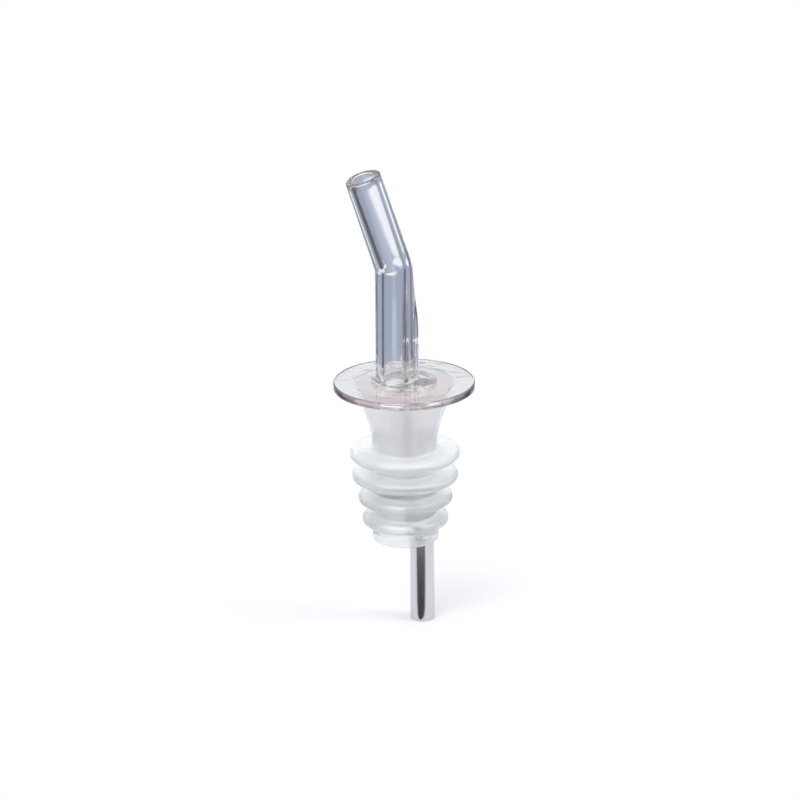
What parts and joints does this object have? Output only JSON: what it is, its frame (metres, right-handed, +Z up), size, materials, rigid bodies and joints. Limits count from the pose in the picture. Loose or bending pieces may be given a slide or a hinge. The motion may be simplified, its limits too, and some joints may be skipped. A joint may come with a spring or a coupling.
{
  "type": "liquor pour spout",
  "caption": "Clear bent pour spout with a rear air vent, a round collar, a finned bottle stopper and a steel breather tube.",
  "frame": {"origin": "on the stopper's axis, in the plane of the collar's underside where it rests on the bottle's lip", "axes": "+Z up along the stopper's axis, -X towards the side the spout leans to, +X towards the air vent and the breather tube"},
  "size_m": [0.031, 0.031, 0.1042],
  "materials": {
    "spout_body": "clear, polished moulding with a faint warm edge tint",
    "collar": "clear, polished disc with a faint warm edge tint",
    "stopper": "translucent natural polyethylene, satin",
    "breather_tube": "drawn stainless steel, polished"
  },
  "bodies": {
    "stopper": {"stopper": "stopper"},
    "collar": {"collar": "collar"},
    "spout": {"spout_body": "spout_body"},
    "breather": {"breather_tube": "breather_tube"}
  },
  "joints": [
    {"name": "spout_pull", "type": "slide", "parent": "stopper", "child": "collar", "axis": [0, 0, 1], "range_m": [0, 0.057]},
    {"name": "spout_turn", "type": "hinge", "parent": "collar", "child": "spout", "pos_m": [0, 0, 0], "axis": [0, 0, 1], "continuous": true},
    {"name": "tube_pull", "type": "slide", "parent": "spout", "child": "breather", "axis": [0, 0, -1], "range_m": [0, 0.012]}
  ]
}
